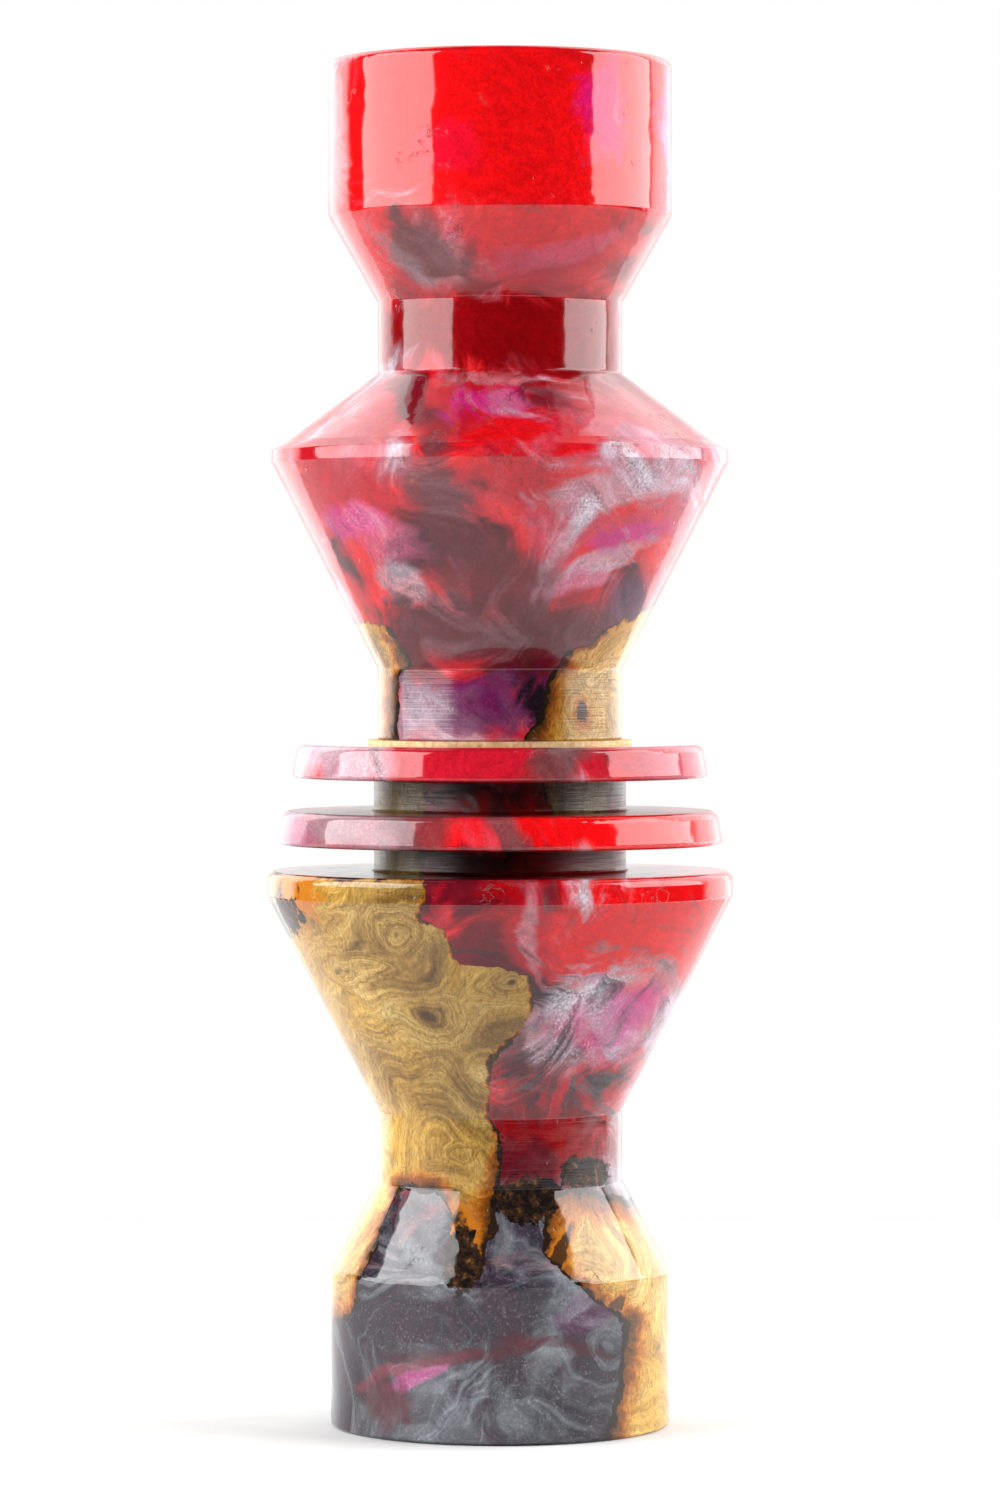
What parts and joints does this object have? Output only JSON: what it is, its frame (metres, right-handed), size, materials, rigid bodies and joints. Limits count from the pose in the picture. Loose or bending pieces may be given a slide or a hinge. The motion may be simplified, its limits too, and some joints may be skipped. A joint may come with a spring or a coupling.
{
  "type": "duck call",
  "caption": "Turned duck call in red and silver resin with burl wood inlays, a pull-off barrel, a lanyard-grooved insert and a reeded tone board inside.",
  "frame": {"origin": "centre of the exhaust end's flat face, on the bore's axis", "axes": "+Z along the bore from the exhaust end to the mouthpiece; -Y is the side the reeds face"},
  "size_m": [0.0434, 0.0434, 0.127],
  "materials": {
    "insert_resin": "polished cast resin with pearl swirls",
    "barrel_resin": "polished cast resin with pearl swirls",
    "burl": "polished stabilised burl",
    "bark": "dark bark under polish",
    "cork": "raw cork",
    "tone_board": "machined polycarbonate",
    "reed": "thin frosted polyester film",
    "o_ring": "nitrile rubber"
  },
  "bodies": {
    "insert": {"insert_resin": "insert_resin", "insert_burl_left": "burl", "insert_burl_right": "burl", "insert_burl_upper": "burl", "insert_bark_chips": "bark", "joint_washer": "cork", "tone_board": "tone_board", "reed_wedge": "cork"},
    "o_rings": {"lower_o_ring": "o_ring", "upper_o_ring": "o_ring"},
    "barrel": {"barrel_resin": "barrel_resin", "barrel_burl_left": "burl", "barrel_burl_right": "burl"},
    "lower_reed": {"lower_reed": "reed"},
    "upper_reed": {"upper_reed": "reed"}
  },
  "joints": [
    {"name": "barrel_twist", "type": "hinge", "parent": "insert", "child": "o_rings", "pos_m": [0, 0, 0.0639], "axis": [0, 0, 1], "continuous": true},
    {"name": "barrel_pull", "type": "slide", "parent": "o_rings", "child": "barrel", "axis": [0, 0, 1], "range_m": [0, 0.055]},
    {"name": "lower_reed_flex", "type": "hinge", "parent": "insert", "child": "lower_reed", "pos_m": [0, -0.0014, 0.0881], "axis": [-1, 0, 0], "range_deg": [-1.5, 4], "stiffness_Nm_per_rad": 0.009, "deforming": ["lower_reed"]},
    {"name": "upper_reed_flex", "type": "hinge", "parent": "insert", "child": "upper_reed", "pos_m": [0, -0.0014, 0.0881], "axis": [-1, 0, 0], "range_deg": [-1.5, 4], "stiffness_Nm_per_rad": 0.009, "deforming": ["upper_reed"]}
  ],
  "couplings": [
    {"joint": "upper_reed_flex", "follows": "lower_reed_flex", "ratio": 1}
  ]
}
